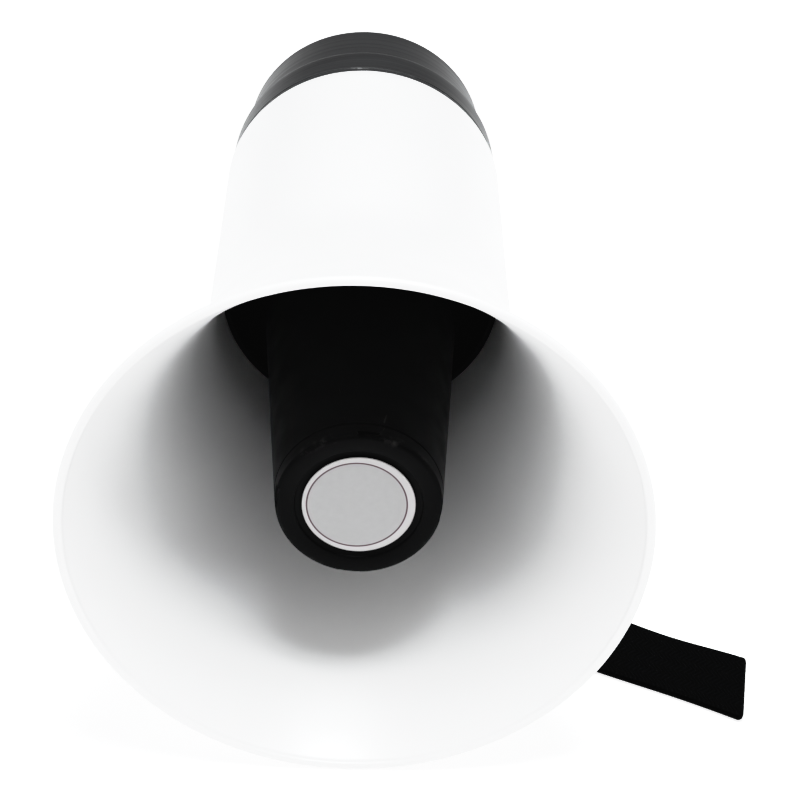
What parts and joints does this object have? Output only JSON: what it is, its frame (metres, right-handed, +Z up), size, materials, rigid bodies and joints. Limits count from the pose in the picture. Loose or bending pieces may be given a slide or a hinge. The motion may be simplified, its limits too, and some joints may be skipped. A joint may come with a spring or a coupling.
{
  "type": "handheld megaphone",
  "caption": "Handheld megaphone with a flared reflex horn, driver and amplifier, pull-off battery cap with controls, folding trigger grip and wrist strap.",
  "frame": {"origin": "middle of the object's footprint on the surface it lies on, without the wrist strap", "axes": "+Z up, +Y along the horn axis from the mouth to the rear cap, so the mouth looks towards -Y; +X to the right when looking into the mouth"},
  "size_m": [0.1974, 0.235, 0.16],
  "materials": {
    "horn_white": "smooth white moulded ABS, semi-gloss",
    "horn_black": "satin black moulded ABS with light scuffs",
    "label_grey": "blank printed foil label, satin",
    "cap_black": "dark grey to black moulded ABS, semi-gloss",
    "slider_grey": "moulded grey plastic",
    "control_red": "moulded red plastic",
    "inner_plastic": "unfinished dark moulding",
    "diaphragm_film": "amber polyimide film",
    "coil_copper": "enamelled copper winding",
    "steel": "zinc plated steel",
    "magnet_ferrite": "sintered ferrite",
    "heat_sink_aluminium": "bare extruded aluminium",
    "board_green": "solder mask",
    "battery_jacket": "printed metal jacket",
    "webbing_black": "woven polypropylene webbing"
  },
  "bodies": {
    "housing": {"horn_shell": "horn_white", "throat_bowl": "horn_black", "tone_tube": "horn_black", "cup_spider": "horn_black", "reflector_cup": "horn_black", "cup_front_cap": "horn_black", "label_disc": "label_grey", "driver_frame": "inner_plastic", "top_plate": "steel", "ring_magnet": "magnet_ferrite", "back_plate": "steel", "driver_screw_1": "steel", "driver_screw_2": "steel", "driver_screw_3": "steel", "hinge_block": "cap_black", "block_screw_1": "steel", "block_screw_2": "steel", "hinge_pin": "steel"},
    "voice_coil_assembly": {"diaphragm": "diaphragm_film", "voice_coil": "coil_copper"},
    "battery_cap": {"rear_cap": "cap_black", "mic_grille": "cap_black", "mic_capsule": "steel", "circuit_board": "board_green", "volume_pot": "steel", "slide_switch": "steel", "tact_switch": "inner_plastic", "power_chip": "inner_plastic", "heat_sink": "heat_sink_aluminium", "cap_screw_1": "steel", "cap_screw_2": "steel", "cap_screw_3": "steel", "battery_tray": "inner_plastic", "battery_cell_1": "battery_jacket", "battery_cell_2": "battery_jacket", "battery_cell_3": "battery_jacket", "battery_cell_4": "battery_jacket", "front_contact_1": "steel", "front_contact_2": "steel", "rear_contact_1": "steel", "rear_contact_2": "steel"},
    "volume_control": {"volume_knob": "cap_black"},
    "mode_control": {"mode_slider": "slider_grey"},
    "record_control": {"record_button": "control_red"},
    "grip": {"grip_left": "cap_black", "grip_right": "cap_black", "grip_screw_1": "steel", "grip_screw_2": "steel", "grip_screw_3": "steel", "trigger_pin": "steel", "trigger_switch": "inner_plastic", "trigger_spring": "steel", "wrist_strap": "webbing_black"},
    "trigger_lever": {"trigger": "control_red"}
  },
  "joints": [
    {"name": "grip_fold", "type": "hinge", "parent": "housing", "child": "grip", "pos_m": [0, 0.0555, 0.016], "axis": [1, 0, 0], "range_deg": [0, 90]},
    {"name": "trigger_pull", "type": "hinge", "parent": "grip", "child": "trigger_lever", "pos_m": [0, 0.0345, 0.017], "axis": [1, 0, 0], "range_deg": [0, 8], "stiffness_Nm_per_rad": 0.3, "springref_deg": -8.59, "deforming": ["trigger_spring"]},
    {"name": "cap_pull", "type": "slide", "parent": "housing", "child": "battery_cap", "axis": [0, 1, 0], "range_m": [0, 0.07]},
    {"name": "volume_turn", "type": "hinge", "parent": "battery_cap", "child": "volume_control", "pos_m": [0, 0.1115, 0.0535], "axis": [0, 1, 0], "range_deg": [-150, 150]},
    {"name": "mode_slide", "type": "slide", "parent": "battery_cap", "child": "mode_control", "axis": [1, 0, 0], "range_m": [0, 0.006]},
    {"name": "record_press", "type": "slide", "parent": "battery_cap", "child": "record_control", "axis": [0, -1, 0], "range_m": [0, 0.001], "stiffness_N_per_m": 600, "springref_m": -0.0015},
    {"name": "diaphragm_drive", "type": "slide", "parent": "housing", "child": "voice_coil_assembly", "axis": [0, 1, 0], "range_m": [-0.0003, 0.0003], "stiffness_N_per_m": 1500}
  ]
}
